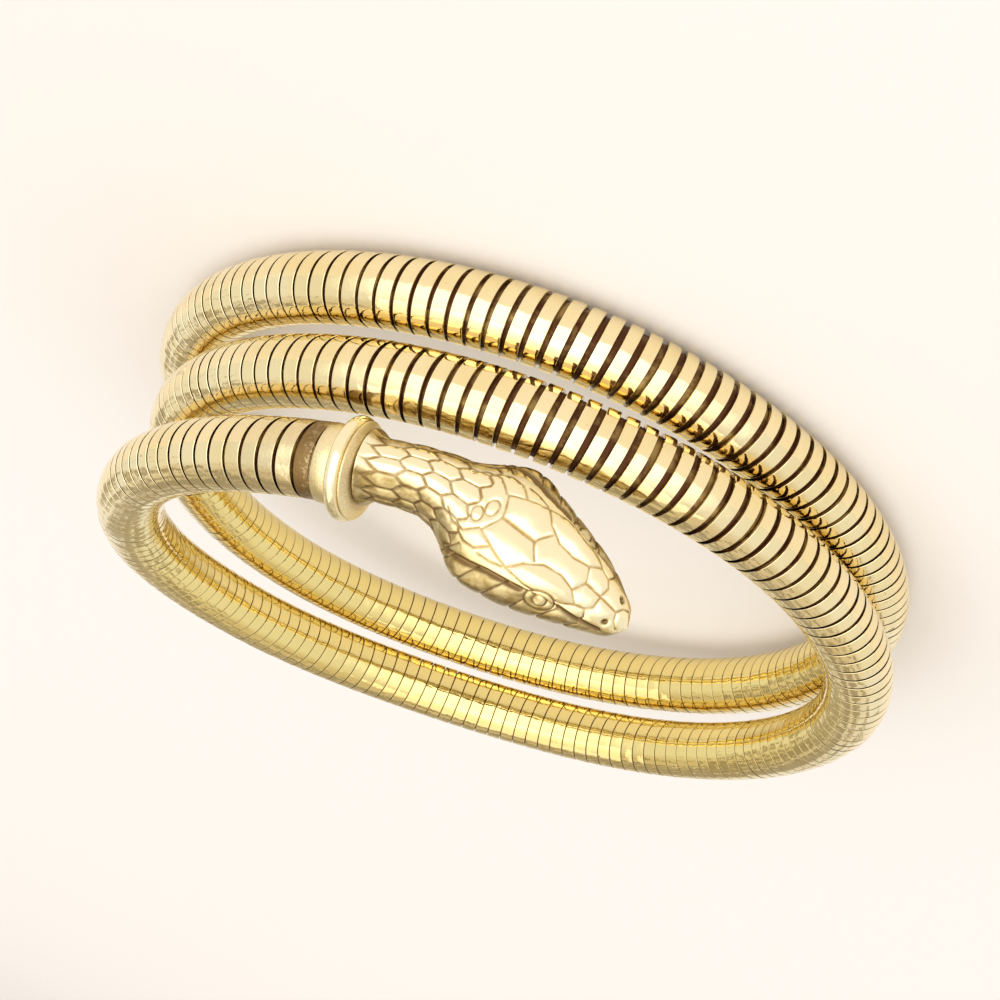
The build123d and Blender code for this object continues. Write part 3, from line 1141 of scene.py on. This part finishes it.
def floor():
    """A plain pale floor under the bracelet, which glows a little so that it stays pale."""
    bm = bmesh.new()
    bmesh.ops.create_circle(bm, cap_ends=True, segments=FLOOR_SEGMENTS, radius=FLOOR_RADIUS)
    mesh = bpy.data.meshes.new("floor")
    bm.to_mesh(mesh)
    bm.free()
    plane = add_object("floor", mesh)
    plane.location.z = cad_low[2]
    paint = bpy.data.materials.new("floor")
    paint.use_nodes = True
    nodes = Nodes(paint.node_tree)
    sockets = {"Base Color": FLOOR_COLOR, "Roughness": FLOOR_ROUGHNESS}
    sockets.update({"Emission Color": FLOOR_COLOR, "Emission Strength": FLOOR_GLOW})
    nodes.send(nodes.add("BsdfPrincipled", None, sockets), "ShaderNodeOutputMaterial")
    mesh.materials.append(paint)


# The studio: bright behind the camera, darker overhead and beyond the bracelet, pale elsewhere.
# A zone fades in between two cosines of the angle from its middle, the corner with a ragged edge
WALL_LIGHT = 0.94
STUDIO_WHITE = (1.0, 0.99, 0.97, 1)
STUDIO_WARM = (1.0, 0.88, 0.68, 1)
BRIGHT_WALL = {"towards": (0.15, -0.93, 0.34), "from": 0.45, "full": 0.98, "share": 1.1}
DARK_TOP = {"towards": (0.0, 0.45, 0.89), "from": 0.55, "full": 0.90, "share": 0.20}
DARK_CORNER = {"towards": (0.10, 0.87, 0.48), "from": 0.82, "full": 0.92, "share": 0.48}
RAGGED_PATCHES = 9.0
RAGGED_EDGE = 2.4


def studio():
    """Plain walls of light round the bracelet, which its polished metal reflects."""
    world = bpy.data.worlds.new("studio")
    world.use_nodes = True
    scene.world = world
    nodes = Nodes(world.node_tree)
    direction = nodes.add("TexCoord", output="Generated")

    def facing(zone):
        sockets = {0: direction, 1: Vector(zone["towards"]).normalized()}
        return nodes.add("VectorMath", {"operation": "DOT_PRODUCT"}, sockets, "Value")

    ragged = (nodes.noise(RAGGED_PATCHES, 4.0, 0.6, direction) - 0.5) * RAGGED_EDGE
    bright = nodes.ramp(facing(BRIGHT_WALL), BRIGHT_WALL["from"], BRIGHT_WALL["full"])
    top = nodes.ramp(facing(DARK_TOP), DARK_TOP["from"], DARK_TOP["full"])
    corner = facing(DARK_CORNER) + ragged
    corner = nodes.ramp(corner, DARK_CORNER["from"], DARK_CORNER["full"])
    light = WALL_LIGHT + bright * BRIGHT_WALL["share"]
    light = light * (1 - corner * DARK_CORNER["share"]) * (1 - top * DARK_TOP["share"])
    shade = nodes.blend(corner + top * (1 - corner), STUDIO_WHITE, STUDIO_WARM)
    background = nodes.add("Background", None, {"Color": shade, "Strength": light})
    nodes.send(background, "ShaderNodeOutputWorld")


LAMP_PLACE = (0.3, -0.4, 2.4)
LAMP_WIDTH = 2.6
LAMP_POWER = 13.0


def overhead_lamp():
    """A wide soft lamp that looks down at the bracelet."""
    data = bpy.data.lights.new("overhead", "AREA")
    data.size = LAMP_WIDTH
    data.energy = LAMP_POWER
    lamp = add_object("overhead", data)
    lamp.location = LAMP_PLACE
    lamp.rotation_euler = (-Vector(LAMP_PLACE)).to_track_quat("-Z", "Y").to_euler()


# The photograph's camera: places in millimetres, roll in degrees
CAMERA_PLACE = (-4.92, -140.10, 62.44)
CAMERA_AIM = (2.27, -2.15, 3.97)
CAMERA_ROLL = -156.45
CAMERA_LENS = 57.4
CAMERA_SENSOR = 36.0
NEAREST_SEEN = 0.005


def photo_camera():
    """The camera at the photograph's viewing angle."""
    data = bpy.data.cameras.new("photo_camera")
    data.lens = CAMERA_LENS
    data.sensor_width = CAMERA_SENSOR
    data.clip_start = NEAREST_SEEN
    camera = add_object("photo_camera", data)
    place = Vector(CAMERA_PLACE) * MM
    ahead = Vector(CAMERA_AIM) * MM - place
    roll = Matrix.Rotation(math.radians(CAMERA_ROLL), 3, "Z")
    turn = ahead.to_track_quat("-Z", "Y").to_matrix() @ roll
    camera.matrix_world = Matrix.Translation(place) @ turn.to_4x4()
    scene.camera = camera


floor()
studio()
overhead_lamp()
photo_camera()
scene.view_settings.view_transform = "Standard"

bpy.context.view_layer.update()
